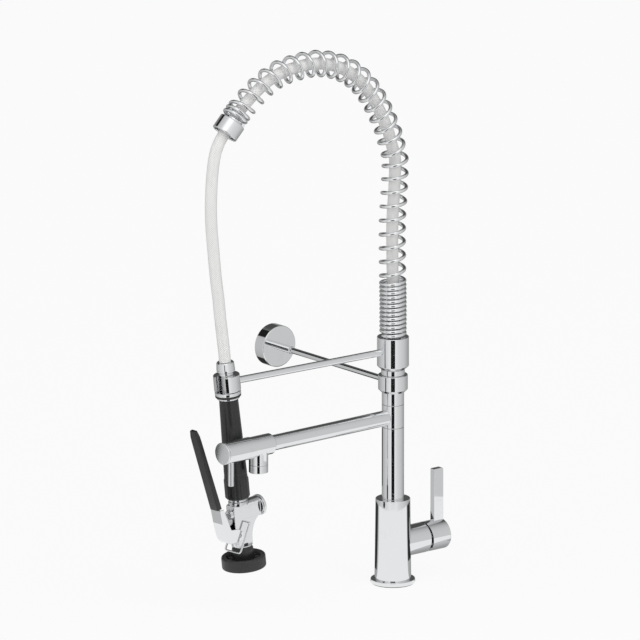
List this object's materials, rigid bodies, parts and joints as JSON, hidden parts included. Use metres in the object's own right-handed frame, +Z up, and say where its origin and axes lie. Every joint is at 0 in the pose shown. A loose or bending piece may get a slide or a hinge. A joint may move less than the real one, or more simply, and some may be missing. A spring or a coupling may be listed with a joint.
{
  "type": "pre rinse faucet",
  "caption": "Deck-mounted pre rinse faucet with one-lever mixer, wall bracket, swivel pot filler spout and a sprung hose carrying a squeeze spray valve",
  "frame": {"origin": "centre of the gasket's underside, which sits on the deck", "axes": "+Z up along the column, +Y towards the wall, +X towards the mixer handle, -X towards the pot filler spout"},
  "size_m": [0.4119, 0.285, 0.7556],
  "materials": {
    "chrome": "polished chrome plate",
    "spring_steel": "bright spring wire",
    "steel": "plain stainless steel",
    "screw_steel": "dark hardened steel",
    "brass": "machined brass",
    "cartridge_plastic": "pale moulded plastic",
    "rubber_black": "black rubber",
    "grip_black": "black moulded grip with a soft sheen",
    "hose_braid": "clear cover over a pale braid"
  },
  "bodies": {
    "column": {"deck_gasket": "rubber_black", "deck_flange": "chrome", "faucet_body": "chrome", "mixer_cartridge": "cartridge_plastic", "cartridge_nut": "brass", "dust_ring": "rubber_black", "riser_column": "chrome", "swivel_spindle": "brass", "swivel_seals": "rubber_black", "upper_column": "chrome", "shoulder_spindle": "chrome", "bracket_collar": "chrome", "bracket_grub_screw": "screw_steel", "bracket_rod": "chrome", "rod_ferrule": "chrome", "wall_flange": "chrome", "wall_plate": "steel"},
    "mixer_core": {"mixer_carrier": "cartridge_plastic"},
    "mixer_handle": {"mixer_spindle": "steel", "mixer_cap": "chrome", "mixer_blade": "chrome"},
    "spout": {"spout_ring": "chrome", "spout_tube": "chrome", "spout_housing": "chrome", "spout_headwork": "brass", "spout_aerator": "chrome"},
    "spout_tap": {"knob_stem": "brass", "spout_knob": "chrome", "knob_end_cap": "chrome", "knob_pin_lever": "chrome"},
    "spray_arm": {"arm_collar": "chrome", "arm_grub_screw": "screw_steel", "hose_tail": "steel", "arm_rod": "chrome", "gun_holder": "chrome", "balance_spring": "spring_steel", "spring_ferrule": "chrome", "guided_hose": "hose_braid", "drop_hose": "hose_braid"},
    "spray_gun": {"hose_nut": "chrome", "handle_tube": "steel", "handle_flange": "chrome", "handle_seal": "rubber_black", "grip_ring": "chrome", "grip_sleeve": "grip_black", "coupling_nut": "grip_black", "valve_body": "chrome", "valve_seat": "cartridge_plastic", "bonnet_cap": "chrome", "valve_spring": "spring_steel", "spray_neck": "grip_black", "rubber_bumper": "rubber_black", "spray_face": "steel", "face_screw": "steel", "pivot_pin": "chrome"},
    "trigger": {"trigger_channel": "chrome", "trigger_grip": "grip_black"},
    "stem": {"valve_stem": "steel"},
    "hold_clip": {"hold_ring": "spring_steel"}
  },
  "joints": [
    {"name": "mixer_temperature", "type": "hinge", "parent": "column", "child": "mixer_core", "pos_m": [0.048, 0, 0.054], "axis": [1, 0, 0], "range_deg": [-45, 45]},
    {"name": "mixer_flow", "type": "hinge", "parent": "mixer_core", "child": "mixer_handle", "pos_m": [0.048, 0, 0.054], "axis": [0, 1, 0], "range_deg": [0, 11]},
    {"name": "spout_swivel", "type": "hinge", "parent": "column", "child": "spout", "pos_m": [0, 0, 0.231], "axis": [0, 0, 1], "range_deg": [0, 180]},
    {"name": "spout_tap_turn", "type": "hinge", "parent": "spout", "child": "spout_tap", "pos_m": [-0.27, 0, 0.231], "axis": [-1, 0, 0], "range_deg": [0, 90]},
    {"name": "spray_arm_swivel", "type": "hinge", "parent": "column", "child": "spray_arm", "pos_m": [0, 0, 0.32], "axis": [0, 0, 1], "range_deg": [-40, 0]},
    {"name": "gun_turn", "type": "hinge", "parent": "spray_arm", "child": "spray_gun", "pos_m": [-0.26281, 0.03227, 0.3175], "axis": [-0.1037, 0.0127, 0.9945], "range_deg": [-90, 8]},
    {"name": "trigger_squeeze", "type": "hinge", "parent": "spray_gun", "child": "trigger", "pos_m": [-0.24966, 0.02939, 0.10469], "axis": [-0.0167, 0.9998, -0.0145], "range_deg": [0, 9.5], "stiffness_Nm_per_rad": 2, "springref_deg": -17.19},
    {"name": "valve_stem_slide", "type": "slide", "parent": "spray_gun", "child": "stem", "axis": [0.9945, 0.0181, 0.1035], "range_m": [0, 0.005], "deforming": ["valve_spring"]},
    {"name": "hold_ring_swing", "type": "hinge", "parent": "spray_gun", "child": "hold_clip", "pos_m": [-0.23839, 0.02983, 0.12194], "axis": [-0.0167, 0.9998, -0.0145], "range_deg": [0, 62]}
  ],
  "couplings": [
    {"joint": "valve_stem_slide", "follows": "trigger_squeeze", "m_per_rad": 0.03}
  ]
}
